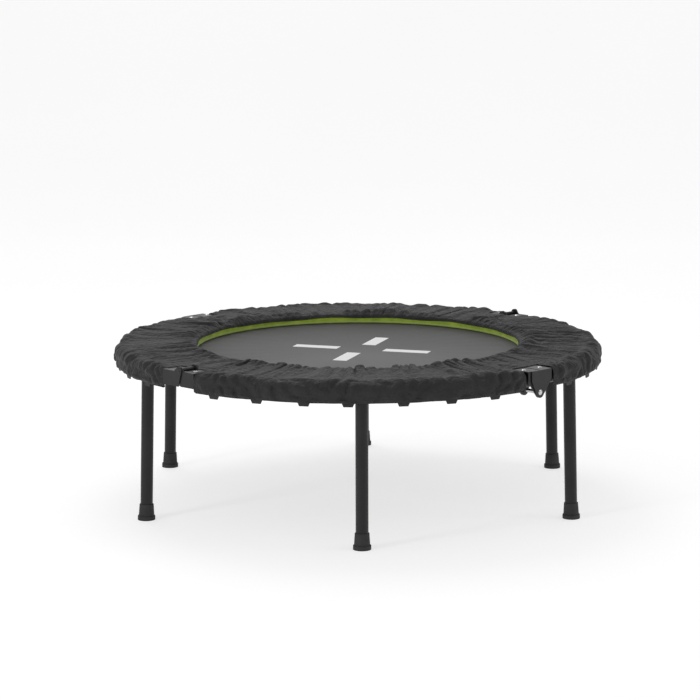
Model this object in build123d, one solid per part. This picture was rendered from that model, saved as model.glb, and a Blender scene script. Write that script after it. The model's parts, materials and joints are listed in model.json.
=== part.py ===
"""Folding mini trampoline: hinged steel ring, six screw-on legs, sprung mat and padded cover.

Millimetres. The origin is on the floor under the middle of the ring, +Z is up, and -Y is the front.
Angles run anticlockwise from +X, seen from above. Local shapes are drawn at angle 0, where X is the
radius, Y runs along the tube and Z is up, and are then turned to their place round the ring.
"""
from build123d import *
import math
import os

# Ring of tube
FRAME_RADIUS = 484.0
FRAME_HEIGHT = 308.0
TUBE_RADIUS = 16.0
TUBE_WALL = 1.5
TUBE_END_GAP = 0.4

# Hinges: the halves fold about the line through the two hinges whose pins are above the tube
FOLD_ANGLE = 46.0
FRONT_RIGHT_ANGLE = -45.0
BACK_LEFT_ANGLE = 137.0
TOP_PIN_RISE = 20.5
BOTTOM_PIN_DROP = 26.0
PLATE = 2.0
NARROW_INSIDE = 18.0
WIDE_INSIDE = 20.6
TOP_PLATE = 2.5
WIDE_LENGTH = 46.0
NARROW_LENGTH = 40.0
SIDE_DROP = 12.0
SHIELD_REACH = 33.0
SHIELD_OVERLAP = 25.0
NECK = 16.0
TOP_PIN_RADIUS = 3.5
TOP_EAR_RADIUS = 7.5
BOTTOM_PIN_RADIUS = 4.0
BOTTOM_EAR_RADIUS = 11.0
PIN_CLEARANCE = 0.05
PIN_HEAD = 1.4
PIN_HEAD_OVERHANG = 1.5
RIVET_OFFSET = 23.5
RIVET_RADIUS = 2.5
RIVET_HEAD_RADIUS = 4.5
RIVET_HEAD = 1.5

# Legs
LEG_SPLAY = 1.6
LEG_RADIUS = 12.5
LEG_WALL = 1.5
LEG_TOP = 20.0
LEG_END = 302.0
STUD_RADIUS = 5.0
STUD_END = 58.0
INSERT_LENGTH = 42.0
SEAT_GAP = 0.1
CAP_FLANGE_RADIUS = 17.75
CAP_FLANGE = 9.0
CAP_FOOT_RADIUS = 15.75
CAP_TOP_RADIUS = 14.25
CAP_HEIGHT = 32.0
CAP_SOLE = 5.0

# Mat and its suspension
MAT_RADIUS = 362.0
MAT_THICKNESS = 1.2
BINDING_INSIDE = 350.0
BINDING_OUTSIDE = 364.5
BINDING_THICKNESS = 3.8
WEBBING_WIDTH = 24.0
WEBBING_THICKNESS = 1.2
RING_BAR_RADIUS = 369.5
RING_APEX_RADIUS = 383.0
RING_WIDTH = 42.0
RING_WIRE = 1.75
SPRING_RADIUS = 5.5
SPRING_BORE = 4.0
HOOK_WIRE = 1.2
INNER_HOOK = 4.3
OUTER_HOOK = 3.8
EYE_HOLE_RADIUS = 461.5
EYE_EDGE_RADIUS = 457.0

# Spring clamps round the tube
CLAMP_PITCH = 11.0
CLAMPS_EACH_SIDE = 3
CLAMP_LEG_CLEAR = 3.0
CLAMP_THICKNESS = 1.2
CLAMP_WIDTH = 16.0
HEEL_TOP_WIDTH = 27.0
HEEL_BOTTOM_WIDTH = 18.0
HEEL_SHOULDER = 17.0
HEEL_DROP = 27.0
HEEL_RISE = 3.0
HEEL_INSIDE = 16.8
HEEL_THICKNESS = 1.8

# Pad, cover and band
PAD_INSIDE = 341.0
PAD_OUTSIDE = 466.0
PAD_BOTTOM = 315.0
PAD_TOP = 324.9
COVER_INSIDE = 336.0
COVER_OUTSIDE = 506.0
COVER_TOP = 326.4
COVER_HEM = 287.5
COVER_LIP = 320.0
COVER_SHOULDER = 6.0
SKIN = 1.0
NOTCH_RADIUS = 458.0
NOTCH_HALF_ANGLE = 6.0
ELASTIC_RADIUS = 1.0
ELASTIC_RING = 503.9
ELASTIC_HEIGHT = 290.5
BAND_INSIDE = 338.2
BAND_TOP = 324.6
BAND_FOOT = 349.6
FOLD_GAP = 0.8

BIG = 1400.0
CUT_MARGIN = 20.0

# name, angle, pin above the tube, side of the wide bracket (+1 is anticlockwise)
HINGES = [
    ("front_left", FOLD_ANGLE - 180.0, True, -1),
    ("front_right", FRONT_RIGHT_ANGLE, False, 1),
    ("back_right", FOLD_ANGLE, True, 1),
    ("back_left", BACK_LEFT_ANGLE, False, -1),
]
QUARTERS = [
    ("front", FOLD_ANGLE - 180.0, FRONT_RIGHT_ANGLE),
    ("right", FRONT_RIGHT_ANGLE, FOLD_ANGLE),
    ("back", FOLD_ANGLE, BACK_LEFT_ANGLE),
    ("left", BACK_LEFT_ANGLE, FOLD_ANGLE + 180.0),
]
QUARTER_MIDDLES = {"front_right": (-91.0, 0.0), "back_left": (90.0, 180.0)}
LEGS = [
    ("front", -89.2),
    ("front_right", -28.8),
    ("back_right", 29.5),
    ("back", 88.6),
    ("back_left", 148.0),
    ("front_left", 209.2),
]
HALVES = {"front_right": FOLD_ANGLE - 90.0, "back_left": FOLD_ANGLE + 90.0}
HALF_LEGS = {
    "front_right": ("front", "front_right", "back_right"),
    "back_left": ("back", "back_left", "front_left"),
}


def save(shapes, node):
    """Write one node, as one solid or as a group of separate solids."""
    solids = [solid for shape in shapes for solid in shape.solids()]
    export_step(Compound(children=solids) if len(solids) > 1 else solids[0], f"parts/{node}.step")


def turned(shape, angle):
    """A local shape turned to its angle round the ring."""
    return Rot(0, 0, angle) * shape


def arc(profile, start, end):
    """A profile drawn in radius and height, turned about Z from one angle to another."""
    return turned(revolve(Plane.XZ * profile, axis=Axis.Z, revolution_arc=end - start), start)


def ring(profile):
    return arc(profile, 0, 360)


def band(inside, outside, bottom, top):
    """A rectangle in radius and height."""
    return Pos((inside + outside) / 2, (bottom + top) / 2) * Rectangle(outside - inside, top - bottom)


def half_space(half):
    """The block that holds one half of the trampoline, clear of the fold plane."""
    return turned(Pos((BIG + FOLD_GAP) / 2, 0, 0) * Box(BIG, BIG, BIG), HALVES[half])


def along_radius(outline, inside, outside):
    """An outline in tube direction and height above the tube's middle, given a radial thickness."""
    plane = Plane.YZ.offset(FRAME_RADIUS + inside)
    return extrude(plane * Pos(0, FRAME_HEIGHT) * outline, outside - inside)


def radial_rod(radius, inside, outside, height):
    return along_radius(Pos(0, height) * Circle(radius), inside, outside)


# Ring tubes and hinges

def tube_profile(radius):
    return Pos(FRAME_RADIUS, FRAME_HEIGHT) * Circle(radius)


def tube_solid():
    return ring(tube_profile(TUBE_RADIUS))


def rivet_shank(side):
    """The shank of a bracket rivet, at the top of the tube on one side of the hinge."""
    length = TUBE_WALL + TOP_PLATE
    middle = FRAME_HEIGHT + TUBE_RADIUS + TOP_PLATE - length / 2
    shank = Pos(FRAME_RADIUS, 0, middle) * Cylinder(RIVET_RADIUS, length)
    return turned(shank, side * math.degrees(RIVET_OFFSET / FRAME_RADIUS))


def rivet(side):
    """A bracket rivet with a low domed head."""
    base = FRAME_HEIGHT + TUBE_RADIUS + TOP_PLATE + RIVET_HEAD / 2
    head = Pos(FRAME_RADIUS, 0, base) * Cone(RIVET_HEAD_RADIUS, RIVET_RADIUS, RIVET_HEAD)
    return rivet_shank(side) + turned(head, side * math.degrees(RIVET_OFFSET / FRAME_RADIUS))


def quarter_tube(start, end):
    gap = math.degrees(TUBE_END_GAP / 2 / FRAME_RADIUS)
    profile = tube_profile(TUBE_RADIUS) - tube_profile(TUBE_RADIUS - TUBE_WALL)
    tube = arc(profile, start + gap, end - gap)
    return tube - turned(rivet_shank(1), start) - turned(rivet_shank(-1), end)


def block(near, far, bottom, top):
    """A rectangle between two places along the tube and two heights."""
    return Pos((near + far) / 2, (bottom + top) / 2) * Rectangle(abs(far - near), top - bottom)


def side_outline(top_pin, wide, side, ear_radius):
    """One side plate of a bracket, seen along the pin."""
    top = TUBE_RADIUS + TOP_PLATE
    if top_pin:
        length = WIDE_LENGTH if wide else NARROW_LENGTH
        ear = Pos(0, TOP_PIN_RISE) * Circle(ear_radius)
        neck = block(side * PLATE, side * NECK, -SIDE_DROP, TUBE_RADIUS)
        plate = block(side * PLATE, side * length, -SIDE_DROP, top)
        return make_hull(ear.edges() + neck.edges()) + plate
    ear = Pos(0, -BOTTOM_PIN_DROP) * Circle(ear_radius)
    near = -side * SHIELD_OVERLAP if wide else side * PLATE
    plate = block(near, side * SHIELD_REACH, -PLATE, top)
    return make_hull(ear.edges() + plate.edges())


def pin_sizes(top_pin):
    """Pin radius, ear radius and pin height above the tube's middle."""
    if top_pin:
        return TOP_PIN_RADIUS, TOP_EAR_RADIUS, TOP_PIN_RISE
    return BOTTOM_PIN_RADIUS, BOTTOM_EAR_RADIUS, -BOTTOM_PIN_DROP


def bracket(top_pin, wide, side):
    """A U-shaped hinge bracket: two side plates with ears, and a flat top riveted to the tube."""
    pin_radius, ear_radius, pin_height = pin_sizes(top_pin)
    inside = WIDE_INSIDE if wide else NARROW_INSIDE
    outside = inside + PLATE
    outline = side_outline(top_pin, wide, side, ear_radius)
    plates = along_radius(outline, inside, outside) + along_radius(outline, -outside, -inside)
    start = ear_radius + TOP_PLATE if top_pin else PLATE
    length = SHIELD_REACH
    if top_pin:
        length = WIDE_LENGTH if wide else NARROW_LENGTH
    flat = block(side * start, side * length, TUBE_RADIUS, TUBE_RADIUS + TOP_PLATE)
    hole = pin_radius if wide else pin_radius + PIN_CLEARANCE
    bore = radial_rod(hole, -outside - PLATE, outside + PLATE, pin_height)
    return plates + along_radius(flat, -outside, outside) - bore - rivet_shank(side)


def hinge_pin(top_pin):
    """A rivet pin with a low domed head at each end."""
    pin_radius, _, height = pin_sizes(top_pin)
    face = WIDE_INSIDE + PLATE
    pin = radial_rod(pin_radius, -face, face, height)
    head = Cone(pin_radius + PIN_HEAD_OVERHANG, pin_radius - PIN_HEAD / 2, PIN_HEAD)
    middle = face + PIN_HEAD / 2
    for way in (-1, 1):
        place = Pos(FRAME_RADIUS + way * middle, 0, FRAME_HEIGHT + height) * Rot(0, way * 90, 0)
        pin += place * head
    return pin


def make_ring():
    for name, start, end in QUARTERS:
        save([quarter_tube(start, end)], f"frame_tube_{name}")
    for name, angle, top_pin, side in HINGES:
        save([turned(bracket(top_pin, True, side), angle)], f"hinge_{name}_wide_bracket")
        save([turned(bracket(top_pin, False, -side), angle)], f"hinge_{name}_narrow_bracket")
        save([turned(hinge_pin(top_pin), angle)], f"hinge_{name}_pin")
    for half, middle in HALVES.items():
        rivets = []
        for _, angle, _, _ in HINGES:
            for side in (-1, 1):
                place = math.radians(angle + side - middle)
                if math.cos(place) > 0:
                    rivets.append(turned(rivet(side), angle))
        save(rivets, f"bracket_rivets_{half}")


# Legs: drawn down the leg's own axis from the middle of the tube

def leg_rod(radius, top, bottom):
    return Pos(0, 0, -(top + bottom) / 2) * Cylinder(radius, bottom - top)


def placed_leg(shape, angle):
    return turned(Pos(FRAME_RADIUS, 0, FRAME_HEIGHT) * Rot(0, -LEG_SPLAY, 0) * shape, angle)


def leg_boss():
    """Short spigot, saddle-cut to the tube, that the leg seats against."""
    return leg_rod(LEG_RADIUS, 0, LEG_TOP) - leg_rod(STUD_RADIUS, 0, LEG_TOP + CUT_MARGIN)


def leg_tube():
    top = LEG_TOP + SEAT_GAP
    return leg_rod(LEG_RADIUS, top, LEG_END) - leg_rod(LEG_RADIUS - LEG_WALL, top - 1, LEG_END + 1)


def leg_insert():
    """Nut plug pressed into the top of the leg tube."""
    top = LEG_TOP + SEAT_GAP
    bore = leg_rod(STUD_RADIUS + PIN_CLEARANCE, top - 1, top + INSERT_LENGTH + 1)
    return leg_rod(LEG_RADIUS - LEG_WALL, top, top + INSERT_LENGTH) - bore


def foot_cap():
    """Rubber cup with a flanged sole."""
    floor = -FRAME_HEIGHT / math.cos(math.radians(LEG_SPLAY))
    flange = leg_rod(CAP_FLANGE_RADIUS, -floor - CAP_FLANGE, -floor + PLATE)
    flange = fillet(flange.edges().filter_by(GeomType.CIRCLE).sort_by(Axis.Z)[-1], PLATE)
    height = CAP_HEIGHT - CAP_FLANGE
    cup = Pos(0, 0, floor + CAP_FLANGE + height / 2) * Cone(CAP_FOOT_RADIUS, CAP_TOP_RADIUS, height)
    return flange + cup - leg_rod(LEG_RADIUS, LEG_TOP, LEG_END)


def make_legs():
    below_floor = Pos(0, 0, -BIG / 2) * Box(BIG, BIG, BIG)
    tube = tube_solid()
    for half, names in HALF_LEGS.items():
        angles = [angle for name, angle in LEGS if name in names]
        save([placed_leg(leg_boss(), angle) - tube for angle in angles], f"leg_bosses_{half}")
        stud = leg_rod(STUD_RADIUS, TUBE_RADIUS, STUD_END)
        save([placed_leg(stud, angle) - tube for angle in angles], f"leg_studs_{half}")
    for name, angle in LEGS:
        save([placed_leg(leg_tube(), angle)], f"leg_tube_{name}")
        save([placed_leg(leg_insert(), angle)], f"leg_insert_{name}")
        save([placed_leg(foot_cap(), angle) - below_floor], f"foot_cap_{name}")


# Mat and suspension

def clamp_angles(half):
    """Seven clamps to a quarter, evenly spaced, but moved aside where a leg stands."""
    angles = []
    for middle in QUARTER_MIDDLES[half]:
        for step in range(-CLAMPS_EACH_SIDE, CLAMPS_EACH_SIDE + 1):
            angle = middle + step * CLAMP_PITCH
            for _, leg in LEGS:
                if abs(angle - leg) < CLAMP_LEG_CLEAR:
                    angle = leg + math.copysign(CLAMP_LEG_CLEAR, angle - leg)
            angles.append(angle)
    return angles


def spring_clamp():
    """Steel band round the tube with a heel on the outside and an eye towards the mat."""
    half_arc = math.degrees(CLAMP_WIDTH / 2 / FRAME_RADIUS)
    outside = TUBE_RADIUS + CLAMP_THICKNESS
    hoop = arc(tube_profile(outside) - tube_profile(TUBE_RADIUS), -half_arc, half_arc)
    top = HEEL_TOP_WIDTH / 2
    bottom = HEEL_BOTTOM_WIDTH / 2
    heel = Polygon(
        (-top, HEEL_RISE),
        (-top, -HEEL_SHOULDER),
        (-bottom, -HEEL_DROP),
        (bottom, -HEEL_DROP),
        (top, -HEEL_SHOULDER),
        (top, HEEL_RISE),
        align=None,
    )
    heel = along_radius(heel, HEEL_INSIDE, HEEL_INSIDE + HEEL_THICKNESS)
    edge = EYE_EDGE_RADIUS - FRAME_RADIUS
    eye = along_radius(Rectangle(CLAMP_WIDTH, 2 * CLAMP_THICKNESS), edge, -TUBE_RADIUS - CLAMP_THICKNESS / 2)
    hole = Pos(EYE_HOLE_RADIUS, 0, FRAME_HEIGHT) * Cylinder(RIVET_RADIUS, TUBE_RADIUS)
    return hoop + heel + eye - hole


def hook(radius, size):
    """One end loop of a spring, standing upright."""
    return Pos(radius, 0, FRAME_HEIGHT) * Rot(90, 0, 0) * Torus(size, HOOK_WIRE)


def spring():
    """A coil spring as a plain sleeve, with a loop at each end."""
    outer_hook = EYE_HOLE_RADIUS - OUTER_HOOK
    start = RING_APEX_RADIUS + INNER_HOOK
    end = outer_hook - OUTER_HOOK
    sleeve = Pos((start + end) / 2, 0, FRAME_HEIGHT) * Rot(0, 90, 0) * (
        Cylinder(SPRING_RADIUS, end - start) - Cylinder(SPRING_BORE, end - start)
    )
    cap = Pos(start, 0, FRAME_HEIGHT) * Rot(0, 90, 0) * Cylinder(SPRING_RADIUS, HOOK_WIRE)
    other_cap = Pos(end, 0, FRAME_HEIGHT) * Rot(0, 90, 0) * Cylinder(SPRING_RADIUS, HOOK_WIRE)
    return sleeve + cap + other_cap + hook(RING_APEX_RADIUS, INNER_HOOK) + hook(outer_hook, OUTER_HOOK)


def wire(start, end, radius):
    """A straight length of round wire with ball ends."""
    axis = Vector(*end) - Vector(*start)
    rod = Solid.make_cylinder(radius, axis.length, Plane(origin=start, z_dir=axis))
    return rod + Pos(*start) * Sphere(radius) + Pos(*end) * Sphere(radius)


def v_ring():
    """Triangular ring whose base lies in the webbing and whose apex takes the spring."""
    left = (RING_BAR_RADIUS, -RING_WIDTH / 2, FRAME_HEIGHT)
    right = (RING_BAR_RADIUS, RING_WIDTH / 2, FRAME_HEIGHT)
    apex = (RING_APEX_RADIUS, 0, FRAME_HEIGHT)
    return wire(left, right, RING_WIRE) + wire(right, apex, RING_WIRE) + wire(apex, left, RING_WIRE)


def webbing_tab():
    """Webbing folded round the V-ring's base and laid on both faces of the mat's binding."""
    inside = BINDING_THICKNESS / 2
    outside = inside + WEBBING_THICKNESS
    profile = Pos(RING_BAR_RADIUS, FRAME_HEIGHT) * (Circle(outside) - Circle(inside))
    profile += band(BINDING_INSIDE, RING_BAR_RADIUS, FRAME_HEIGHT - outside, FRAME_HEIGHT + outside)
    profile -= band(BINDING_INSIDE - 1, RING_BAR_RADIUS, FRAME_HEIGHT - inside, FRAME_HEIGHT + inside)
    return extrude(Plane.XZ.offset(-WEBBING_WIDTH / 2) * profile, WEBBING_WIDTH)


def mat_height(side):
    return FRAME_HEIGHT + side * MAT_THICKNESS / 2


def make_mat():
    mat = ring(band(0, MAT_RADIUS, mat_height(-1), mat_height(1)))
    thick = BINDING_THICKNESS / 2
    binding = band(BINDING_INSIDE, BINDING_OUTSIDE, FRAME_HEIGHT - thick, FRAME_HEIGHT + thick)
    binding = ring(binding - band(0, MAT_RADIUS, mat_height(-1), mat_height(1)))
    for half in HALVES:
        angles = clamp_angles(half)
        save([mat & half_space(half)], f"mat_{half}")
        save([binding & half_space(half)], f"mat_binding_{half}")
        save([turned(webbing_tab(), angle) for angle in angles], f"webbing_tabs_{half}")
        save([turned(v_ring(), angle) for angle in angles], f"v_rings_{half}")
        save([turned(spring(), angle) for angle in angles], f"springs_{half}")
        save([turned(spring_clamp(), angle) for angle in angles], f"spring_clamps_{half}")


# Pad, cover and band

def hinge_notches():
    profile = band(NOTCH_RADIUS, BIG / 2, FRAME_HEIGHT - BIG / 4, FRAME_HEIGHT + BIG / 4)
    notches = [arc(profile, angle - NOTCH_HALF_ANGLE, angle + NOTCH_HALF_ANGLE) for _, angle, _, _ in HINGES]
    return notches[0] + notches[1] + notches[2] + notches[3]


def cover_profile():
    """Lip at the mat, flat top, sloping shoulder and skirt."""
    bend = COVER_OUTSIDE - COVER_SHOULDER
    return Polygon(
        (COVER_INSIDE, COVER_LIP),
        (COVER_INSIDE, COVER_TOP),
        (bend, COVER_TOP),
        (COVER_OUTSIDE, COVER_TOP - COVER_SHOULDER),
        (COVER_OUTSIDE, COVER_HEM),
        (COVER_OUTSIDE - SKIN, COVER_HEM),
        (COVER_OUTSIDE - SKIN, COVER_TOP - COVER_SHOULDER),
        (bend - SKIN / 2, COVER_TOP - SKIN),
        (COVER_INSIDE + SKIN, COVER_TOP - SKIN),
        (COVER_INSIDE + SKIN, COVER_LIP),
        align=None,
    )


def band_profile():
    """Green band: upright strip with a foot sewn to the mat."""
    foot = mat_height(1)
    upright = band(BAND_INSIDE, BAND_INSIDE + SKIN, foot, BAND_TOP)
    return upright + band(BAND_INSIDE, BAND_FOOT, foot, foot + SKIN)


def make_cover():
    notches = hinge_notches()
    pad = ring(band(PAD_INSIDE, PAD_OUTSIDE, PAD_BOTTOM, PAD_TOP)) - notches
    cover = ring(cover_profile()) - notches
    green = ring(band_profile())
    elastic = ring(Pos(ELASTIC_RING, ELASTIC_HEIGHT) * Circle(ELASTIC_RADIUS)) - notches
    for half in HALVES:
        save([pad & half_space(half)], f"foam_pad_{half}")
        save([cover & half_space(half)], f"cover_{half}")
        save([green & half_space(half)], f"green_band_{half}")
        save([elastic & half_space(half)], f"hem_elastic_{half}")


os.makedirs("parts", exist_ok=True)
make_ring()
make_legs()
make_mat()
make_cover()
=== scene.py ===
import json
import math

import bpy
import numpy as np
from mathutils import Matrix, Vector

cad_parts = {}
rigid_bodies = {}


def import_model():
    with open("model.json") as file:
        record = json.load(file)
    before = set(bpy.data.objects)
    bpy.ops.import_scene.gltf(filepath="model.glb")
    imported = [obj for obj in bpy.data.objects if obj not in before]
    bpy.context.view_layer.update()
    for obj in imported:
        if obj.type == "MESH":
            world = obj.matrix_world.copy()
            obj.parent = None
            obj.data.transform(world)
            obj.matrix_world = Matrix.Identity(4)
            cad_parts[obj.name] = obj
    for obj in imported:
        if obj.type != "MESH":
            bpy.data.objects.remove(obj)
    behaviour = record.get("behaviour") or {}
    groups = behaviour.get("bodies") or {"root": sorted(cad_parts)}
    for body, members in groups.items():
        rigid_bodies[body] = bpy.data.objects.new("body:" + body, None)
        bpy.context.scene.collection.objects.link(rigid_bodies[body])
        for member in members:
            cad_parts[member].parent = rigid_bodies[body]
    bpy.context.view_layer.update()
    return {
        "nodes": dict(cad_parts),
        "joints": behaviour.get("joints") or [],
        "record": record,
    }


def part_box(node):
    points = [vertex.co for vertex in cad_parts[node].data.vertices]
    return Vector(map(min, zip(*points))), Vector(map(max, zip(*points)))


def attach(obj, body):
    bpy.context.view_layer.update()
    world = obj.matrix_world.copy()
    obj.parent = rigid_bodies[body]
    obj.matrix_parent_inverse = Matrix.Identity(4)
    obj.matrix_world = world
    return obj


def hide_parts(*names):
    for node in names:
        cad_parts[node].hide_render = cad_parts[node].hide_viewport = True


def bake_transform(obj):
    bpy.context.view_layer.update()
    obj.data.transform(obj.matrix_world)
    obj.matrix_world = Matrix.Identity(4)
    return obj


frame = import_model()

# ---------------------------------------------------------------- frame facts

FOLD = next(joint for joint in frame["joints"] if joint["name"] == "half_fold")
ROOT, MOVING = FOLD["parent"], FOLD["child"]
HALVES = {"front_right": ROOT, "back_left": MOVING}
FOLD_AXIS = Vector(FOLD["axis"]).normalized()
FOLD_ANGLE = math.atan2(FOLD_AXIS.y, FOLD_AXIS.x)

cover_low, cover_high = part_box("cover_front_right")
pad_low, pad_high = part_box("foam_pad_front_right")
mat_low, mat_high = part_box("mat_front_right")
binding_low, binding_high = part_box("mat_binding_front_right")

COVER_OUTSIDE = cover_high[0]
COVER_HEM = cover_low[2]
PAD_OUTSIDE = pad_high[0]
PAD_BOTTOM, PAD_TOP = pad_low[2], pad_high[2]
MAT_RADIUS = mat_high[0]
MAT_TOP = mat_high[2]
MAT_MIDDLE = (mat_low[2] + mat_high[2]) / 2
BINDING_OUTSIDE = binding_high[0]
COVER_INSIDE = 0.3370
PAD_INSIDE = 0.3410

# Notches in the cover and pad at the hinges: how far in they start and their two half widths
NOTCH_RADIUS = 0.4645
PAD_NOTCH = 0.0085
NOTCH_WIDE, NOTCH_NARROW = math.radians(5.25), math.radians(4.55)

# Where the hinges and legs stand round the ring
FOLD_ANGLE_DEGREES = math.degrees(FOLD_ANGLE)
HINGES = [math.radians(angle) for angle in
          (FOLD_ANGLE_DEGREES - 180, -45.0, FOLD_ANGLE_DEGREES, 137.0)]
HINGE_WIDE_SIDES = (-1, 1, 1, -1)
LEG_ANGLES = [math.radians(angle) for angle in (-89.2, -28.8, 29.5, 88.6, 148.0, 209.2)]
LEG_CLEAR = math.radians(3.0)


# ---------------------------------------------------------------- mesh helpers

def mesh_object(name, verts, faces, uvs=None, smooth=True):
    """A mesh object, with one UV for each vertex if they are given."""
    mesh = bpy.data.meshes.new(name)
    mesh.from_pydata([tuple(map(float, v)) for v in verts], [], faces)
    if uvs is not None:
        layer = mesh.uv_layers.new(name="rest")
        loops = np.empty(len(mesh.loops), dtype=np.int32)
        mesh.loops.foreach_get("vertex_index", loops)
        layer.data.foreach_set("uv", np.asarray(uvs, np.float32)[loops].ravel())
    mesh.validate()
    if smooth:
        mesh.polygons.foreach_set("use_smooth", [True] * len(mesh.polygons))
    piece = bpy.data.objects.new(name, mesh)
    bpy.context.scene.collection.objects.link(piece)
    return piece


def joined(name, parts, smooth=True):
    """One mesh object from several (vertices, faces, uvs)."""
    verts, faces, uvs = [], [], []
    for part_verts, part_faces, part_uvs in parts:
        base = len(verts)
        verts.extend(part_verts)
        faces.extend([tuple(i + base for i in face) for face in part_faces])
        uvs.extend(part_uvs)
    return mesh_object(name, verts, faces, uvs, smooth)


def grid_faces(rows, columns, close_rows=False, close_columns=False):
    """Quads of a grid whose vertex (row, column) has the index row * columns + column."""
    faces = []
    for row in range(rows if close_rows else rows - 1):
        for column in range(columns if close_columns else columns - 1):
            after, beside = (row + 1) % rows, (column + 1) % columns
            faces.append((row * columns + column, after * columns + column,
                          after * columns + beside, row * columns + beside))
    return faces


def tube_along(points, radius, sides=6, closed=False):
    """A round tube along points, with flat ends."""
    points = np.asarray(points, float)
    count = len(points)
    if closed:
        tangents = np.roll(points, -1, 0) - np.roll(points, 1, 0)
    else:
        tangents = np.gradient(points, axis=0)
    tangents /= np.linalg.norm(tangents, axis=1)[:, None]
    normal = np.cross(tangents[0], (0.0, 0.0, 1.0))
    if np.linalg.norm(normal) < 1e-6:
        normal = np.array((1.0, 0.0, 0.0))
    verts, uvs = [], []
    length = 0.0
    for i in range(count):
        normal = normal - tangents[i] * (normal @ tangents[i])
        normal /= np.linalg.norm(normal)
        other = np.cross(tangents[i], normal)
        if i:
            length += float(np.linalg.norm(points[i] - points[i - 1]))
        for side in range(sides):
            turn = 2 * math.pi * side / sides
            verts.append(points[i] + radius * (math.cos(turn) * normal + math.sin(turn) * other))
            uvs.append((length, radius * turn))
    faces = grid_faces(count, sides, close_rows=closed, close_columns=True)
    if not closed:
        faces.append(tuple(range(sides))[::-1])
        faces.append(tuple((count - 1) * sides + side for side in range(sides)))
    return verts, faces, uvs


def periodic_noise(angles, lowest, highest, seed):
    """Smooth noise round the ring, of about unit size, with waves from lowest to highest per turn."""
    dice = np.random.default_rng(seed)
    total = np.zeros_like(angles)
    for wave in range(lowest, highest + 1):
        total += dice.normal() * np.cos(wave * angles + dice.uniform(0, 2 * math.pi))
    return total / math.sqrt((highest - lowest + 1) / 2)


def crossed_noise(angles, along, turns, slope, seed, waves=48):
    """Noise of about unit size over the fabric.

    turns are the fewest and most waves round the ring; slope is how fast a wave turns across the fabric,
    in radians per metre.
    """
    dice = np.random.default_rng(seed)
    total = np.zeros_like(angles)
    for _ in range(waves):
        around = dice.integers(turns[0], turns[1] + 1)
        total += np.cos(around * angles + dice.uniform(-slope, slope) * along + dice.uniform(0, 2 * math.pi))
    return total * math.sqrt(2 / waves)


def smoothstep(low, high, value):
    """From 0 at low to 1 at high, level at both ends."""
    t = np.clip((value - low) / (high - low), 0, 1)
    return t * t * (3 - 2 * t)


def angle_from(angles, centre):
    """How far angles lie from a centre, both ways, in radians."""
    return (angles - centre + math.pi) % (2 * math.pi) - math.pi


def notch_depth(angles):
    """How far angles lie inside the nearest hinge's notch, in radians; negative outside it."""
    depths = []
    for hinge, wide_side in zip(HINGES, HINGE_WIDE_SIDES):
        place = angle_from(angles, hinge) * wide_side
        depths.append(np.minimum(NOTCH_WIDE - place, NOTCH_NARROW + place))
    return np.max(depths, axis=0)


def bend_at_fold(piece):
    """Bakes the piece's placement into its mesh; the piece stays whole and is not split at the fold line."""
    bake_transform(piece)


def apply_modifiers(piece):
    """Keeps the shape that the modifiers give, and removes them."""
    graph = bpy.context.evaluated_depsgraph_get()
    mesh = bpy.data.meshes.new_from_object(piece.evaluated_get(graph))
    piece.modifiers.clear()
    piece.data = mesh


# ---------------------------------------------------------------- materials

class Nodes:
    """Short calls for building a material's nodes."""

    def __init__(self, name):
        self.material = bpy.data.materials.new(name)
        self.material.use_nodes = True
        self.tree = self.material.node_tree
        self.shader = self.tree.nodes["Principled BSDF"]

    def add(self, kind, inputs=(), **settings):
        node = self.tree.nodes.new(kind)
        for key, value in settings.items():
            setattr(node, key, value)
        for key, value in dict(inputs).items():
            self.feed(node.inputs[key], value)
        return node

    def feed(self, socket, value):
        if isinstance(value, bpy.types.NodeSocket):
            self.tree.links.new(value, socket)
        else:
            socket.default_value = value

    def math(self, operation, a, b=0.0, c=None):
        node = self.add("ShaderNodeMath", {0: a, 1: b}, operation=operation)
        if c is not None:
            self.feed(node.inputs[2], c)
        return node.outputs[0]

    def coordinates(self, kind="Object"):
        return self.add("ShaderNodeTexCoord").outputs[kind]

    def noise(self, place, scale, detail=3.0, roughness=0.55):
        inputs = {"Vector": place, "Scale": scale, "Detail": detail, "Roughness": roughness}
        return self.add("ShaderNodeTexNoise", inputs).outputs["Fac"]

    def ramp(self, value, stops):
        node = self.add("ShaderNodeValToRGB", {"Fac": value})
        ramp = node.color_ramp
        while len(ramp.elements) < len(stops):
            ramp.elements.new(0.5)
        for element, (position, colour) in zip(ramp.elements, stops):
            element.position = position
            element.color = (*colour, 1)
        return node.outputs["Color"]

    def mix(self, factor, first, second):
        node = self.add("ShaderNodeMix", data_type="RGBA")
        self.feed(node.inputs["Factor"], factor)
        for socket, value in ((node.inputs["A"], first), (node.inputs["B"], second)):
            self.feed(socket, value if isinstance(value, bpy.types.NodeSocket) else (*value, 1))
        return node.outputs["Result"]

    def bump(self, height, distance, strength=1.0, normal=None):
        node = self.add("ShaderNodeBump", {"Height": height, "Distance": distance, "Strength": strength})
        if normal is not None:
            self.feed(node.inputs["Normal"], normal)
        return node.outputs["Normal"]

    def surface(self, **inputs):
        for key, value in inputs.items():
            self.feed(self.shader.inputs[key.replace("_", " ")], value)
        return self.material


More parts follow.
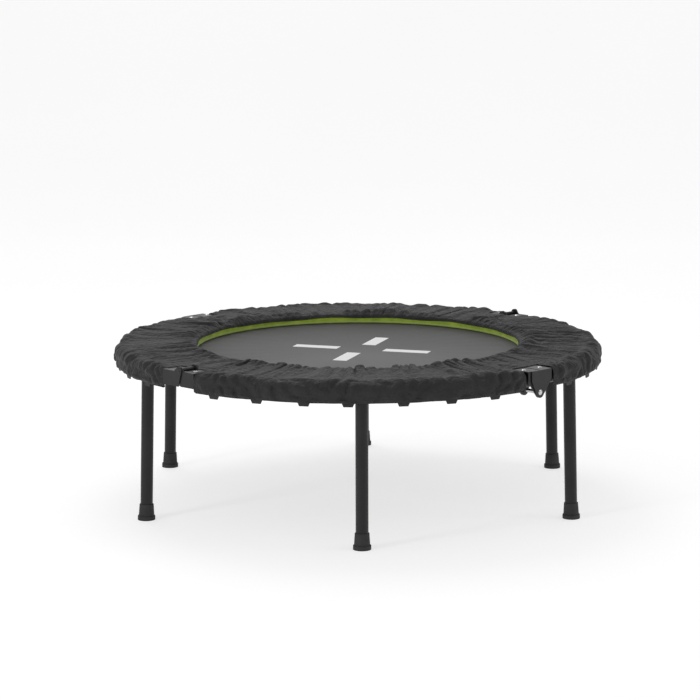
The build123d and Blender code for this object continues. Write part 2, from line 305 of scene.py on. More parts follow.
def weave(nodes, place, pitch):
    """Height of a plain weave of that pitch, from 0 to 1."""
    scaled = nodes.add("ShaderNodeVectorMath", {0: place, "Scale": 1 / pitch}, operation="SCALE")
    split = nodes.add("ShaderNodeSeparateXYZ", {0: scaled.outputs[0]}).outputs
    across = nodes.math("SINE", nodes.math("MULTIPLY", split["X"], math.pi))
    along = nodes.math("SINE", nodes.math("MULTIPLY", split["Y"], math.pi))
    checks = nodes.math("MULTIPLY", across, along)
    return nodes.math("MULTIPLY_ADD", checks, 0.5, 0.5)


def cover_material():
    """Thin crumpled polyester."""
    nodes = Nodes("cover_polyester")
    uv = nodes.coordinates("UV")
    threads = weave(nodes, uv, 0.0011)
    patches = nodes.noise(uv, 7.0, 4.0)
    streaks = nodes.noise(uv, 90.0, 2.0)
    tone = nodes.math("MULTIPLY_ADD", streaks, 0.35, nodes.math("MULTIPLY", patches, 0.65))
    colour = nodes.ramp(tone, [(0.30, (0.025, 0.025, 0.0255)), (0.55, (0.033, 0.0327, 0.033)),
                               (0.75, (0.042, 0.0415, 0.0415))])
    crumple = nodes.noise(uv, 55.0, 4.0, 0.6)
    off_middle = nodes.math("SUBTRACT", nodes.noise(uv, 26.0, 3.0, 0.6), 0.5)
    normal = nodes.bump(nodes.math("ABSOLUTE", off_middle), 0.018, 0.8)
    normal = nodes.bump(crumple, 0.0022, 0.5, normal)
    normal = nodes.bump(threads, 0.00015, 0.35, normal)
    return nodes.surface(Base_Color=colour, Roughness=0.58, Normal=normal,
                         Sheen_Weight=0.02, Sheen_Roughness=0.4, Specular_IOR_Level=0.12)


def mat_material():
    """Woven jumping mat with a broken cross printed on it, and painted shade that darkens it towards the rim.
    """
    nodes = Nodes("mat_woven")
    uv = nodes.coordinates("UV")
    threads = weave(nodes, uv, 0.0014)
    patches = nodes.noise(uv, 5.0, 3.0)
    # Painted shade and light: the cloth is painted dark towards the rim and pale round a centre towards the
    # front.
    shaded_cloth = nodes.ramp(patches, [(0.3, (0.026, 0.025, 0.0247)), (0.7, (0.034, 0.0327, 0.0323))])
    lit_cloth = nodes.ramp(patches, [(0.3, (0.088, 0.085, 0.0845)), (0.7, (0.104, 0.100, 0.0995))])
    distance = nodes.add("ShaderNodeVectorMath", {0: uv, 1: LIT_CENTRE}, operation="DISTANCE")
    from_middle = distance.outputs["Value"]
    lit_share = nodes.add("ShaderNodeMapRange", {"Value": from_middle, "From Min": 0.12, "From Max": 0.46,
                                            "To Min": 1.0, "To Max": 0.0}).outputs["Result"]
    cloth = nodes.mix(lit_share, shaded_cloth, lit_cloth)
    turned = nodes.add("ShaderNodeVectorRotate", {"Vector": uv, "Angle": MARK_ANGLE}, rotation_type="Z_AXIS")
    split = nodes.add("ShaderNodeSeparateXYZ", {0: turned.outputs[0]}).outputs
    x = nodes.math("ABSOLUTE", nodes.math("SUBTRACT", split["X"], MARK_CENTRE[0]))
    y = nodes.math("ABSOLUTE", nodes.math("SUBTRACT", split["Y"], MARK_CENTRE[1]))
    masks = []
    for along, across in ((x, y), (y, x)):
        centre = MARK_INSIDE + MARK_LENGTH / 2
        off_end = nodes.math("ABSOLUTE", nodes.math("SUBTRACT", along, centre))
        in_length = nodes.math("LESS_THAN", off_end, MARK_LENGTH / 2)
        in_width = nodes.math("LESS_THAN", across, MARK_WIDTH / 2)
        masks.append(nodes.math("MULTIPLY", in_length, in_width))
    mark = nodes.math("MAXIMUM", *masks)
    ink = nodes.ramp(nodes.noise(uv, 400.0, 2.0), [(0.3, (0.80, 0.80, 0.80)), (0.7, (0.87, 0.87, 0.87))])
    colour = nodes.mix(mark, cloth, ink)
    normal = nodes.bump(threads, 0.0002, 0.4)
    return nodes.surface(Base_Color=colour, Roughness=0.62, Normal=normal,
                         Sheen_Weight=0.05, Specular_IOR_Level=0.3)


def green_material():
    """Bright strip with a painted highlight line where it is folded."""
    nodes = Nodes("green_polyester")
    uv = nodes.coordinates("UV")
    threads = weave(nodes, uv, 0.0010)
    tone = nodes.noise(uv, 40.0, 3.0)
    height = nodes.add("ShaderNodeSeparateXYZ", {0: uv}).outputs["Y"]
    cloth = nodes.ramp(tone, [(0.3, (0.22, 0.34, 0.015)), (0.7, (0.42, 0.56, 0.040))])
    # Painted highlight: a paler line along the fold, where light would catch it.
    fold_highlight = nodes.math("LESS_THAN", nodes.math("ABSOLUTE", nodes.math("SUBTRACT", height, BAND_FOLD_HIGHLIGHT)), 0.0019)
    colour = nodes.mix(nodes.math("MULTIPLY", fold_highlight, 0.6), cloth, (0.48, 0.62, 0.18))
    normal = nodes.bump(threads, 0.00012, 0.35)
    return nodes.surface(Base_Color=colour, Roughness=0.6, Normal=normal, Sheen_Weight=0.2)


def webbing_material():
    """Ribbed black webbing."""
    nodes = Nodes("woven_webbing")
    place = nodes.coordinates()
    ribs = weave(nodes, place, 0.0012)
    tone = nodes.noise(place, 120.0)
    colour = nodes.ramp(tone, [(0.3, (0.018, 0.018, 0.019)), (0.7, (0.034, 0.034, 0.035))])
    return nodes.surface(Base_Color=colour, Roughness=0.75, Normal=nodes.bump(ribs, 0.0003, 0.5),
                         Sheen_Weight=0.2)


def powder_coat(name, dark, light, roughness):
    """Satin powder coat: fine orange peel and faint uneven tone."""
    nodes = Nodes(name)
    place = nodes.coordinates()
    peel = nodes.noise(place, 900.0, 2.0)
    tone = nodes.noise(place, 14.0, 4.0)
    colour = nodes.ramp(tone, [(0.3, dark), (0.7, light)])
    rough = nodes.math("MULTIPLY_ADD", nodes.noise(place, 60.0, 3.0), 0.12, roughness - 0.06)
    return nodes.surface(Base_Color=colour, Roughness=rough, Normal=nodes.bump(peel, 0.0001, 0.25),
                         Coat_Weight=0.04, Coat_Roughness=0.3, Specular_IOR_Level=0.28)


def plated(name, colour_dark, colour_light, roughness):
    """Plated steel with fine scratches."""
    nodes = Nodes(name)
    place = nodes.coordinates()
    tone = nodes.noise(place, 70.0, 4.0)
    colour = nodes.ramp(tone, [(0.3, colour_dark), (0.7, colour_light)])
    rough = nodes.math("MULTIPLY_ADD", nodes.noise(place, 250.0, 3.0), 0.15, roughness - 0.07)
    scratches = nodes.noise(place, 1500.0, 2.0)
    return nodes.surface(Base_Color=colour, Metallic=1.0, Roughness=rough,
                         Normal=nodes.bump(scratches, 0.00005, 0.3))


def rubber_material():
    """Matt moulded rubber of the feet."""
    nodes = Nodes("moulded_rubber")
    place = nodes.coordinates()
    grain = nodes.noise(place, 1100.0, 2.0)
    tone = nodes.noise(place, 35.0, 4.0)
    colour = nodes.ramp(tone, [(0.3, (0.020, 0.020, 0.021)), (0.7, (0.033, 0.033, 0.034))])
    return nodes.surface(Base_Color=colour, Roughness=0.72, Normal=nodes.bump(grain, 0.00015, 0.4),
                         Specular_IOR_Level=0.35)


def foam_material():
    """Pale foam of the pad, with small cells."""
    nodes = Nodes("closed_cell_foam")
    place = nodes.coordinates()
    cells = nodes.add("ShaderNodeTexVoronoi", {"Vector": place, "Scale": 700.0}).outputs["Distance"]
    tone = nodes.noise(place, 18.0)
    colour = nodes.ramp(tone, [(0.3, (0.30, 0.30, 0.29)), (0.7, (0.38, 0.38, 0.37))])
    return nodes.surface(Base_Color=colour, Roughness=0.85, Normal=nodes.bump(cells, 0.0004, 0.5))


MARK_ANGLE = math.radians(17.8)
MARK_CENTRE = (0.0067, 0.0021)
UNDERSIDE_SHIFT = 2.0
MARK_INSIDE = 0.050
# Centre of the painted light on the mat, towards the front; the cloth darkens away from it as painted shade.
LIT_CENTRE = (0.02, -0.20, 0.0)
MARK_LENGTH = 0.098
MARK_WIDTH = 0.030
# Height of the band's fold, where its painted highlight line runs.
BAND_FOLD_HIGHLIGHT = 0.0125

MATERIALS = {
    "cover_fabric": cover_material(),
    "mat_fabric": mat_material(),
    "green_fabric": green_material(),
    "webbing": webbing_material(),
    "elastic": webbing_material(),
    "foam": foam_material(),
    "frame_steel": powder_coat("frame_powder_coat", (0.013, 0.013, 0.0135), (0.021, 0.021, 0.0215), 0.40),
    "leg_steel": powder_coat("leg_powder_coat", (0.010, 0.0095, 0.0098), (0.017, 0.0165, 0.017), 0.42),
    "clamp_steel": powder_coat("clamp_coat", (0.016, 0.016, 0.016), (0.026, 0.0255, 0.0255), 0.55),
    "rivet_steel": plated("bright_plate", (0.50, 0.50, 0.51), (0.66, 0.66, 0.67), 0.28),
    "zinc_steel": plated("zinc_plate", (0.42, 0.43, 0.45), (0.58, 0.59, 0.61), 0.36),
    "spring_steel": plated("spring_wire", (0.40, 0.41, 0.43), (0.56, 0.57, 0.59), 0.30),
    "rubber": rubber_material(),
}


def finish_piece(piece, slot):
    """Gives a piece the material of a slot."""
    piece.data.materials.clear()
    piece.data.materials.append(MATERIALS[slot])


def paint_cad_nodes():
    """Gives every CAD node the material of its slot."""
    slots = {part["node"]: part["material_slot"] for part in frame["record"]["subparts"]}
    for node, shape in frame["nodes"].items():
        for index in range(len(shape.material_slots)):
            shape.material_slots[index].link = "OBJECT"
            shape.material_slots[index].material = MATERIALS[slots[node]]


# ---------------------------------------------------------------- cover

# Mesh of the cover before it is made finer
COLUMNS = 720
TOP_ROWS = 34
SKIRT_ROWS = 12

# Its section: radius of the shoulder, rise towards it, and how far the hem tucks in
SHOULDER = 0.0135
CREST = 0.0008
HEM_TUCK = 0.0012

# How many times longer the fabric is cut than it hangs, at its two edges
GATHER_INSIDE, GATHER_OUTSIDE = 1.24, 1.12

# Heights of the folds: large ones before the cloth settles, the rest after it
FOLD_LIFT = 0.0066
PLEAT_HEIGHT = 0.0062
CRUMPLE_HEIGHT = 0.0036
SLACK_HEIGHT = 0.0030

# Settling: steps, how far a point may move, and the gap between cloth and form
CLOTH_FRAMES = 20
LARGEST_MOVE = 0.010
CLOTH_GAP = 0.0008

# Fabric thickness and the rolls sewn in its edges
CLOTH_THICKNESS = 0.0007
HEM_ROLL = 0.0013
ELASTIC_ROLL = 0.0012


def cover_profile():
    """(radius, height) from the inner edge over the pad and round the shoulder to the hem."""
    top = PAD_TOP + 0.0022
    inside, outside = COVER_INSIDE, COVER_OUTSIDE - 0.0016
    points = [(inside, top - 0.0055), (inside + 0.0006, top - 0.0022), (inside + 0.0025, top - 0.0004)]
    flat_end = outside - SHOULDER
    for t in np.linspace(0, 1, TOP_ROWS):
        radius = inside + 0.006 + (flat_end - inside - 0.006) * t
        points.append((radius, top + CREST * smoothstep(0.35, 1.0, t)))
    crest = top + CREST
    for turn in np.radians((22, 45, 67)):
        points.append((flat_end + SHOULDER * math.sin(turn), crest - SHOULDER * (1 - math.cos(turn))))
    for t in np.linspace(0, 1, SKIRT_ROWS):
        height = crest - SHOULDER + (COVER_HEM + 0.0012 - crest + SHOULDER) * t
        points.append((outside - HEM_TUCK * t ** 3, height))
    return np.array(points)


def distance_along(profile):
    """How far each point lies along a line of points."""
    steps = np.linalg.norm(np.diff(profile, axis=0), axis=1)
    return np.concatenate([[0], np.cumsum(steps)])


def cover_cut(profile):
    """(radius, height) of the fabric as it is cut: longer round the ring than the elastic lets it lie."""
    share = distance_along(profile) / distance_along(profile)[-1]
    gather = GATHER_INSIDE + (GATHER_OUTSIDE - GATHER_INSIDE) * share
    return np.stack([profile[:, 0] * gather, profile[:, 1]], axis=1)


def cover_form():
    """Smooth solid that the cover lies on while it settles."""
    top = PAD_TOP + 0.0008
    inner_side = [(0.3388, 0.300), (0.3388, top - 0.003)]
    over_pad = [(0.3410, top), (0.470, top), (0.484, top + 0.0004), (0.4955, top - 0.0035)]
    outer_side = [(0.5020, 0.316), (0.5028, 0.308), (0.5028, 0.284), (0.480, 0.280)]
    outline = (inner_side + over_pad + outer_side)[::-1]
    verts = []
    columns = 180
    for column in range(columns):
        turn = 2 * math.pi * column / columns
        verts += [(r * math.cos(turn), r * math.sin(turn), z) for r, z in outline]
    faces = grid_faces(columns, len(outline), close_rows=True, close_columns=True)
    return mesh_object("cover_form", verts, faces)


def make_cover():
    """The cover with its large folds, settled as cloth, and the area of fabric that it is cut from."""
    profile = cover_profile()
    rows = len(profile)
    along = distance_along(profile)
    angles = 2 * math.pi * np.arange(COLUMNS) / COLUMNS
    drifts = periodic_noise(angles, 5, 16, 13)
    hug = smoothstep(math.radians(-3.5), math.radians(-0.5), notch_depth(angles))
    middle = smoothstep(0.0, 0.03, along) * (1 - 0.6 * smoothstep(0.11, 0.17, along))
    verts = np.empty((rows, COLUMNS, 3))
    for row, (radius, height) in enumerate(profile):
        folds = np.abs(crossed_noise(angles, along[row], (9, 34), 14.0, 12))
        lumps = crossed_noise(angles, along[row], (14, 60), 60.0, 15)
        skirt = smoothstep(0.150, 0.180, along[row])
        near_hinge = hug * smoothstep(NOTCH_RADIUS - 0.050, NOTCH_RADIUS - 0.012, radius)
        lift = FOLD_LIFT * middle[row] * np.minimum(folds, 1.6) * (1 - near_hinge)
        out = skirt * (0.0010 * lumps + 0.0006 * drifts)
        r = radius + out
        verts[row, :, 0] = r * np.cos(angles)
        verts[row, :, 1] = r * np.sin(angles)
        crest = max(0.0, height - PAD_TOP - 0.0022)
        verts[row, :, 2] = height - crest * near_hinge + lift * (1 - skirt) + 0.0004
        if row < 3:
            verts[row, :, 2] += 0.0007 * drifts
    notched = notch_depth(angles) > 0
    keep_row = profile[:, 0] < NOTCH_RADIUS
    faces = []
    for face_index, face in enumerate(grid_faces(rows, COLUMNS, close_columns=True)):
        row, column = divmod(face_index, COLUMNS)
        beside = (column + 1) % COLUMNS
        if notched[column] and notched[beside] and not keep_row[row + 1]:
            continue
        faces.append(face)
    uvs = np.empty((rows, COLUMNS, 2))
    uvs[:, :, 0] = along[:, None]
    uvs[:, :, 1] = angles[None, :] * COVER_OUTSIDE
    used = sorted({index for face in faces for index in face})
    lookup = {old: new for new, old in enumerate(used)}
    flat_verts = verts.reshape(-1, 3)[used]
    piece = mesh_object("gathered_cover", flat_verts, [tuple(lookup[i] for i in face) for face in faces],
                        uvs.reshape(-1, 2)[used])
    row_of = np.array(used) // COLUMNS
    column_of = np.array(used) % COLUMNS
    edge = np.zeros(len(used), bool)
    edge[row_of == 0] = True
    edge[row_of == rows - 1] = True
    near_notch = np.abs(notch_depth(angles)) < math.radians(0.55)
    edge |= near_notch[column_of] & ~keep_row[row_of]
    last_kept = int(np.argmax(~keep_row)) - 1
    edge |= notched[column_of] & (row_of >= last_kept)
    quads = np.array([tuple(face.vertices) for face in piece.data.polygons])
    cut_area = area_of_quads(cut_places(profile, row_of, column_of, angles), quads)
    settle_cloth(piece, profile, row_of, column_of, angles, edge)
    return piece, lookup, rows, notched, cut_area


def cut_places(profile, row_of, column_of, angles):
    """Where each vertex lies on the fabric as it is cut."""
    radius, height = cover_cut(profile)[row_of].T
    turn = angles[column_of]
    return np.stack([radius * np.cos(turn), radius * np.sin(turn), height], axis=1)


def area_of_quads(places, quads):
    """Total area of four-sided faces, from their corners."""
    corners = places[quads]
    diagonals = corners[:, 2] - corners[:, 0], corners[:, 3] - corners[:, 1]
    return float(np.linalg.norm(np.cross(*diagonals), axis=1).sum() / 2)


def settle_cloth(piece, profile, row_of, column_of, angles, pinned):
    """Cloth simulation: the fabric is cut longer round the ring than the elastic lets it lie."""
    group = piece.vertex_groups.new(name="elastic")
    group.add([int(i) for i in np.nonzero(pinned)[0]], 1.0, "REPLACE")
    piece.shape_key_add(name="gathered")
    rest = piece.shape_key_add(name="cut")
    cut = cut_places(profile, row_of, column_of, angles)
    rest.data.foreach_set("co", cut.astype(np.float32).ravel())
    rest.value = 0.0
    form = cover_form()
    form.modifiers.new("collision", "COLLISION")
    form.collision.thickness_outer = CLOTH_GAP
    form.collision.cloth_friction = 8.0
    cloth = piece.modifiers.new("cloth", "CLOTH")
    settings = cloth.settings
    settings.quality = 7
    settings.mass = 0.12
    settings.tension_stiffness = 20
    settings.compression_stiffness = 12
    settings.shear_stiffness = 5
    settings.bending_stiffness = 0.25
    settings.tension_damping = 8
    settings.compression_damping = 8
    settings.shear_damping = 4
    settings.bending_damping = 0.6
    settings.air_damping = 3
    settings.vertex_group_mass = "elastic"
    settings.rest_shape_key = rest
    settings.effector_weights.gravity = 0.6
    cloth.collision_settings.distance_min = CLOTH_GAP
    cloth.collision_settings.use_self_collision = False
    cloth.point_cache.frame_start = 1
    cloth.point_cache.frame_end = CLOTH_FRAMES
    scene = bpy.context.scene
    for step in range(1, CLOTH_FRAMES + 1):
        scene.frame_set(step)
    graph = bpy.context.evaluated_depsgraph_get()
    result = piece.evaluated_get(graph).to_mesh()
    settled = np.empty(len(result.vertices) * 3, np.float32)
    result.vertices.foreach_get("co", settled)
    piece.evaluated_get(graph).to_mesh_clear()
    start = np.empty(len(piece.data.vertices) * 3, np.float32)
    piece.data.vertices.foreach_get("co", start)
    move = (settled - start).reshape(-1, 3)
    size = np.linalg.norm(move, axis=1)
    move *= (np.minimum(size, LARGEST_MOVE) / np.maximum(size, 1e-9))[:, None]
    piece.modifiers.clear()
    piece.shape_key_clear()
    piece.data.vertices.foreach_set("co", (start.reshape(-1, 3) + move).ravel())
    piece.data.update()
    bpy.data.objects.remove(form, do_unlink=True)
    scene.frame_set(1)


def edge_points(piece, lookup, row, columns):
    """Places of one row's vertices, for a roll sewn along it."""
    verts = piece.data.vertices
    return [tuple(verts[lookup[row * COLUMNS + column % COLUMNS]].co) for column in columns]


def runs_between_notches(notched):
    """Stretches of columns that lie between two hinges."""
    start = int(np.nonzero(notched)[0][0])
    runs, run = [], []
    for offset in range(COLUMNS + 1):
        column = (start + offset) % COLUMNS
        if not notched[column]:
            run.append(column)
        elif run:
            runs.append(run)
            run = []
    return runs


def crease_cover(piece):
    """Finer mesh with the small pleats at the elastic and the crumples of the skirt."""
    piece.modifiers.new("finer", "SUBSURF").levels = 1
    apply_modifiers(piece)
    mesh = piece.data
    count = len(mesh.vertices)
    loops = np.empty(len(mesh.loops), np.int32)
    mesh.loops.foreach_get("vertex_index", loops)
    uvs = np.empty(2 * len(mesh.loops), np.float32)
    mesh.uv_layers["rest"].data.foreach_get("uv", uvs)
    along = np.zeros(count)
    along[loops] = uvs.reshape(-1, 2)[:, 0]
    places, normals = np.empty(3 * count, np.float32), np.empty(3 * count, np.float32)
    mesh.vertices.foreach_get("co", places)
    mesh.vertices.foreach_get("normal", normals)
    places, normals = places.reshape(-1, 3), normals.reshape(-1, 3)
    angles = np.arctan2(places[:, 1], places[:, 0])
    warp = angles + 0.012 * crossed_noise(angles, along, (6, 24), 30.0, 40, 16)
    reach = 0.075 + 0.034 * crossed_noise(angles, 0 * along, (7, 22), 0.0, 42, 12)
    near = smoothstep(0.002, 0.026, along) * (1 - smoothstep(0.15, 1.0, along / np.maximum(reach, 0.048)))
    pleats = np.abs(crossed_noise(warp, along, (30, 75), 16.0, 41))
    crumples = np.abs(crossed_noise(warp, along, (12, 70), 130.0, 44, 64))
    slack = np.abs(crossed_noise(warp, along, (18, 52), 9.0, 45))
    end = along.max()
    hem_ease = 1 - smoothstep(end - 0.010, end, along)
    skirt = smoothstep(0.120, 0.165, along) * hem_ease
    depth = notch_depth(angles) * (np.hypot(places[:, 0], places[:, 1]) > NOTCH_RADIUS - 0.012)
    hug = 1 - 0.8 * smoothstep(math.radians(-2.5), math.radians(-0.4), depth - math.radians(5) * (depth == 0))
    height = PLEAT_HEIGHT * near * np.minimum(pleats, 1.0)
    height += CRUMPLE_HEIGHT * skirt * np.minimum(crumples, 1.6)
    top_only = smoothstep(0.0, 0.02, along) * (1 - 0.75 * smoothstep(0.11, 0.17, along))
    height += SLACK_HEIGHT * top_only * np.minimum(slack, 1.5)
    places += normals * (height * hug)[:, None]
    mesh.vertices.foreach_set("co", places.ravel())
    mesh.update()


def dress_cover():
    """The whole cover: cloth, hem roll and inner elastic."""
    piece, lookup, rows, notched, cut_area = make_cover()
    hem_parts = [tube_along(edge_points(piece, lookup, rows - 1, run), HEM_ROLL)
                 for run in runs_between_notches(notched)]
    hem = joined("cover_hem_roll", hem_parts)
    lip = joined("cover_inner_elastic",
                 [tube_along(edge_points(piece, lookup, 0, range(COLUMNS)), ELASTIC_ROLL, closed=True)])
    crease_cover(piece)
    thicken = piece.modifiers.new("thickness", "SOLIDIFY")
    thicken.thickness = CLOTH_THICKNESS
    thicken.offset = -1.0
    apply_modifiers(piece)
    for part in (piece, hem, lip):
        finish_piece(part, "cover_fabric")
        bend_at_fold(part)
    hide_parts("cover_front_right", "cover_back_left")


# ---------------------------------------------------------------- pad, mat, band

# Green band: how far it rises
BAND_RISE = 0.0136


def ring_of(name, outline_at, columns, closed_outline, start=0.0, end=None):
    """A profile turned round the ring; outline_at gives the (radius, height) points at an angle."""
    full = end is None
    angles = (2 * math.pi * np.arange(columns) / columns) if full else np.linspace(start, end, columns)
    verts, uvs = [], []
    for turn in angles:
        outline = outline_at(turn)
        run = 0.0
        for index, (radius, height) in enumerate(outline):
            if index:
                run += math.dist(outline[index], outline[index - 1])
            verts.append((radius * math.cos(turn), radius * math.sin(turn), height))
            uvs.append((turn * radius, run))
    count = len(outline)
    faces = grid_faces(columns, count, close_rows=full, close_columns=closed_outline)
    if not full and closed_outline:
        faces.append(tuple(range(count)))
        faces.append(tuple((columns - 1) * count + i for i in range(count))[::-1])
    return mesh_object(name, verts, faces, uvs)


def rounded_outline(inside, outside, bottom, top, corner, steps=4):
    """Closed outline of a pad with rounded edges, anticlockwise from the lower inside."""
    points = []
    left, right = inside + corner, outside - corner
    low, high = bottom + corner, top - corner
    for centre, first in (((left, low), 180), ((right, low), 270), ((right, high), 0), ((left, high), 90)):
        for step in range(steps + 1):
            turn = math.radians(first + 90 * step / steps)
            points.append((centre[0] + corner * math.cos(turn), centre[1] + corner * math.sin(turn)))
    return points


def make_pads():
    """A foam pad on each half, cut back at the hinges."""
    for half, body in HALVES.items():
        start = FOLD_ANGLE + (0 if half == "back_left" else -math.pi) + 0.0015
        waves = np.random.default_rng(21)
        phases = waves.uniform(0, 2 * math.pi, 4)

        def outline_at(turn):
            outside = PAD_OUTSIDE - 0.001
            near = float(notch_depth(np.array([turn]))[0])
            outside -= PAD_NOTCH * float(smoothstep(math.radians(-1.4), math.radians(-0.6), near))
            sag = 0.0003 * sum(math.sin((9 + 4 * k) * turn + phases[k]) for k in range(4))
            bottom, top = PAD_BOTTOM + 0.0004 + sag, PAD_TOP - 0.0004
            return rounded_outline(PAD_INSIDE + 0.0005, outside, bottom, top, 0.0035)

        pad = ring_of(f"foam_pad_{half}_soft", outline_at, 200, True, start, start + math.pi - 0.003)
        finish_piece(pad, "foam")
        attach(pad, body)
        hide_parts(f"foam_pad_{half}")


def make_mat():
    """Round mat with an upper and a lower face and a faint ripple towards its edge."""
    columns, rings = 360, 60
    thickness = 0.0006
    verts, uvs, faces = [], [], []
    for side in (1, -1):
        base = len(verts)
        aside = 0 if side > 0 else UNDERSIDE_SHIFT
        verts.append((0, 0, MAT_MIDDLE + side * thickness))
        uvs.append((aside, 0))
        for ring in range(1, rings + 1):
            radius = (MAT_RADIUS - 0.0006) * ring / rings
            for column in range(columns):
                turn = 2 * math.pi * column / columns
                wave = 0.00025 * (ring / rings) ** 2 * math.cos(32 * turn)
                x, y = radius * math.cos(turn), radius * math.sin(turn)
                verts.append((x, y, MAT_MIDDLE + side * thickness + wave))
                uvs.append((aside + x, y))
        for column in range(columns):
            beside = (column + 1) % columns
            centre_face = (base, base + 1 + column, base + 1 + beside)
            faces.append(centre_face if side > 0 else centre_face[::-1])
            for ring in range(rings - 1):
                a = base + 1 + ring * columns
                b = a + columns
                face = (a + column, b + column, b + beside, a + beside)
                faces.append(face if side > 0 else face[::-1])
    top = 1 + (rings - 1) * columns
    under = 1 + rings * columns + top
    for column in range(columns):
        beside = (column + 1) % columns
        faces.append((top + column, under + column, under + beside, top + beside))
    mat = mesh_object("jumping_mat", verts, faces, uvs)
    finish_piece(mat, "mat_fabric")
    bend_at_fold(mat)
    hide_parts("mat_front_right", "mat_back_left")


def make_binding():
    """Webbing folded round the mat's edge."""
    low, high = binding_low[2], binding_high[2]

    def outline_at(turn):
        puff = 0.0002 * math.cos(96 * turn)
        bottom, top = low + 0.0001 - puff, high - 0.0001 + puff
        return rounded_outline(0.3503, BINDING_OUTSIDE - 0.0002, bottom, top, 0.0015, 3)

    binding = ring_of("mat_edge_binding", outline_at, 540, True)
    finish_piece(binding, "webbing")
    bend_at_fold(binding)
    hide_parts("mat_binding_front_right", "mat_binding_back_left")


def make_band():
    """Green strip that closes the gap between the mat and the cover."""
    angles = 2 * math.pi * np.arange(720) / 720
    slack = periodic_noise(angles, 8, 40, 31)
    swell = periodic_noise(angles, 5, 14, 32)

    def outline_at(turn):
        k = int(round(turn / (2 * math.pi) * 720)) % 720
        lean = 0.00025 * slack[k]
        base = MAT_TOP + 0.0006
        points = [(0.3485, base), (0.3440, base + 0.0001), (0.3400 + 0.3 * lean, base + 0.0002)]
        for t in (0.03, 0.12, 0.25, 0.4, 0.6, 0.8, 1.0):
            bulge = 0.0009 * math.sin(math.pi * t) + lean * (0.3 + 0.7 * t) + 0.0006 * swell[k] * t
            points.append((0.3388 - bulge * 0.8, base + 0.0004 + BAND_RISE * t))
        return points

    band = ring_of("green_band", outline_at, 720, False)
    thicken = band.modifiers.new("thickness", "SOLIDIFY")
    thicken.thickness = 0.0005
    thicken.offset = 0.0
    apply_modifiers(band)
    finish_piece(band, "green_fabric")
    bend_at_fold(band)
    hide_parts("green_band_front_right", "green_band_back_left")


# ---------------------------------------------------------------- springs

CLAMP_PITCH = math.radians(11.0)
QUARTERS = {"front_right": (-91, 0), "back_left": (90, 180)}
SPRING_START, SPRING_END = 0.3873, 0.4539
COIL_RADIUS, WIRE = 0.0046, 0.00085


def clamp_angles(half):
    """Seven clamps to a quarter, evenly spaced, but moved aside where a leg stands."""
    angles = []
    for middle in QUARTERS[half]:
        for step in range(-3, 4):
            angle = math.radians(middle) + step * CLAMP_PITCH
            for leg in LEG_ANGLES:
                if abs(angle - leg) < LEG_CLEAR:
                    angle = leg + math.copysign(LEG_CLEAR, angle - leg)
            angles.append(angle)
    return angles


def coil_points(angle):
    """A close-wound coil that narrows at both ends."""
    turns = int((SPRING_END - SPRING_START) / (2 * WIRE + 0.0001))
    steps = turns * 12
    points = []
    for step in range(steps + 1):
        along = SPRING_START + (SPRING_END - SPRING_START) * step / steps
        turn = 2 * math.pi * step / 12
        squeeze = COIL_RADIUS * min(1.0, 0.45 + step / 18, 0.45 + (steps - step) / 18)
        points.append(local_point(angle, along, squeeze * math.cos(turn), squeeze * math.sin(turn)))
    return points


def local_point(angle, radius, beside, rise):
    """A point near the spring at an angle, beside its line and above it."""
    return (radius * math.cos(angle) - beside * math.sin(angle),
            radius * math.sin(angle) + beside * math.cos(angle), MAT_MIDDLE + rise)


def hook_points(angle, centre, size, opening):
    """A nearly closed loop, standing upright, with its gap towards the coil."""
    points = []
    for step in range(21):
        turn = opening + (2 * math.pi - 0.7) * step / 20
        points.append(local_point(angle, centre + size * math.cos(turn), 0, size * math.sin(turn)))
    return points


def make_springs():
    """Every spring of a half, with its two end loops."""
    for half, body in HALVES.items():
        parts = []
        for angle in clamp_angles(half):
            parts.append(tube_along(coil_points(angle), WIRE, 6))
            parts.append(tube_along(hook_points(angle, 0.3830, 0.0043, 0.0), WIRE * 1.15, 6))
            parts.append(tube_along(hook_points(angle, 0.4577, 0.0038, math.pi), WIRE * 1.15, 6))
        springs = joined(f"coil_springs_{half}", parts)
        finish_piece(springs, "spring_steel")
        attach(springs, body)
        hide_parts(f"springs_{half}")


# ---------------------------------------------------------------- stage, light, camera

FLOOR_GLOW = 0.62
WORLD_STRENGTH = 0.50
FLOOR_FRONT, FLOOR_BACK = -9.0, 4.0
FLOOR_SIDE = 9.0
SWEEP_RADIUS = 2.0
BACKDROP_TOP = 8.0

# Name, place, what it faces, size and watts of each lamp
LAMPS = [
    ("overhead", (-0.5, 1.3, 2.7), (0, 0, 0.2), (1.4, 1.4), 18),
    ("left", (-3.0, -2.6, 1.7), (0, 0, 0.3), (0.7, 0.9), 34),
    ("right", (3.0, -0.8, 1.5), (0, 0, 0.2), (1.0, 2.0), 10),
]


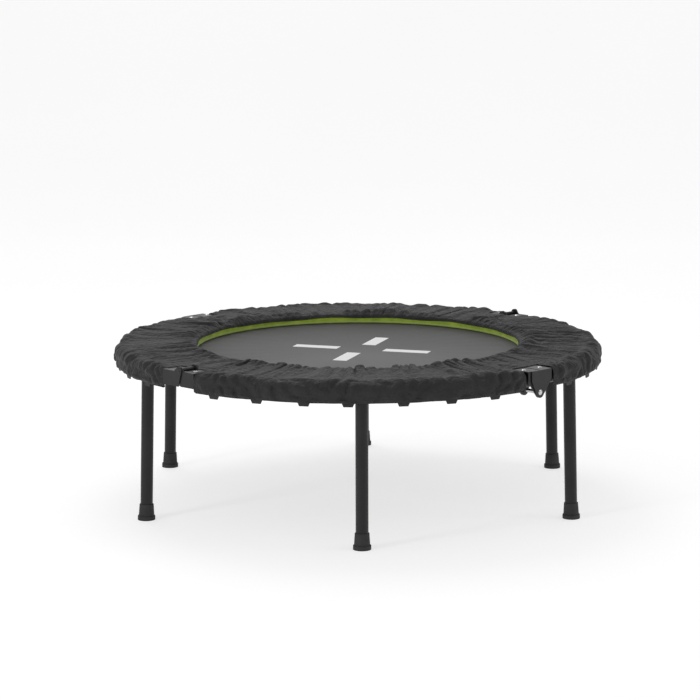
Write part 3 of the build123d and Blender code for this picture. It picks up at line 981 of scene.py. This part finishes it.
def make_stage():
    """Pale paper floor that curves up behind the object."""
    outline = [(FLOOR_FRONT, 0.0), (FLOOR_BACK, 0.0)]
    for step in range(1, 13):
        turn = math.radians(90 * step / 12)
        outline.append((FLOOR_BACK + SWEEP_RADIUS * math.sin(turn), SWEEP_RADIUS * (1 - math.cos(turn))))
    outline.append((FLOOR_BACK + SWEEP_RADIUS, BACKDROP_TOP))
    verts = [(x, y, z) for y, z in outline for x in (-FLOOR_SIDE, FLOOR_SIDE)]
    faces = [(2 * i, 2 * i + 1, 2 * i + 3, 2 * i + 2) for i in range(len(outline) - 1)]
    floor = mesh_object("studio_floor", verts, faces)
    nodes = Nodes("studio_paper")
    tone = nodes.noise(nodes.coordinates(), 0.7, 2.0)
    colour = nodes.ramp(tone, [(0.3, (0.49, 0.49, 0.49)), (0.7, (0.51, 0.51, 0.51))])
    glow = {"Emission Color": (1, 1, 1, 1), "Emission Strength": FLOOR_GLOW}
    paper = nodes.surface(Base_Color=colour, Roughness=0.9, Specular_IOR_Level=0.1, **glow)
    floor.data.materials.append(paper)


def area_light(name, place, target, size, power):
    """A rectangular lamp that faces a point."""
    light = bpy.data.lights.new(name, "AREA")
    light.shape = "RECTANGLE"
    light.size, light.size_y = size
    light.energy = power
    lamp = bpy.data.objects.new(name, light)
    lamp.location = place
    lamp.rotation_euler = (Vector(target) - Vector(place)).to_track_quat("-Z", "Y").to_euler()
    bpy.context.scene.collection.objects.link(lamp)


def make_lights():
    """Even light from all round and three soft lamps."""
    world = bpy.data.worlds.new("studio")
    world.use_nodes = True
    background = world.node_tree.nodes["Background"]
    background.inputs["Color"].default_value = (1, 1, 1, 1)
    background.inputs["Strength"].default_value = WORLD_STRENGTH
    bpy.context.scene.world = world
    for lamp in LAMPS:
        area_light(*lamp)


CAMERA_PLACE = (0.0, -5.3585, 1.2267)
CAMERA_PITCH = math.radians(9.75)
CAMERA_YAW = math.radians(-0.07)
CAMERA_ROLL = math.radians(-0.16)
LENS = 133.15
SENSOR_WIDTH = 36.0
SENSOR_SHIFT = -0.00706


def make_camera():
    """Long lens, a little above the mat."""
    camera = bpy.data.cameras.new("photo_view")
    camera.lens = LENS
    camera.sensor_width = SENSOR_WIDTH
    camera.shift_x = SENSOR_SHIFT
    camera.clip_end = 60.0
    holder = bpy.data.objects.new("photo_view", camera)
    aim = Matrix.Rotation(-CAMERA_YAW, 4, "Z") @ Matrix.Rotation(math.pi / 2 - CAMERA_PITCH, 4, "X")
    holder.matrix_world = Matrix.Translation(CAMERA_PLACE) @ aim @ Matrix.Rotation(CAMERA_ROLL, 4, "Z")
    bpy.context.scene.collection.objects.link(holder)
    bpy.context.scene.camera = holder
    bpy.context.scene.view_settings.view_transform = "Standard"


make_camera()
make_stage()
make_lights()
paint_cad_nodes()
make_pads()
dress_cover()
make_mat()
make_binding()
make_band()
make_springs()
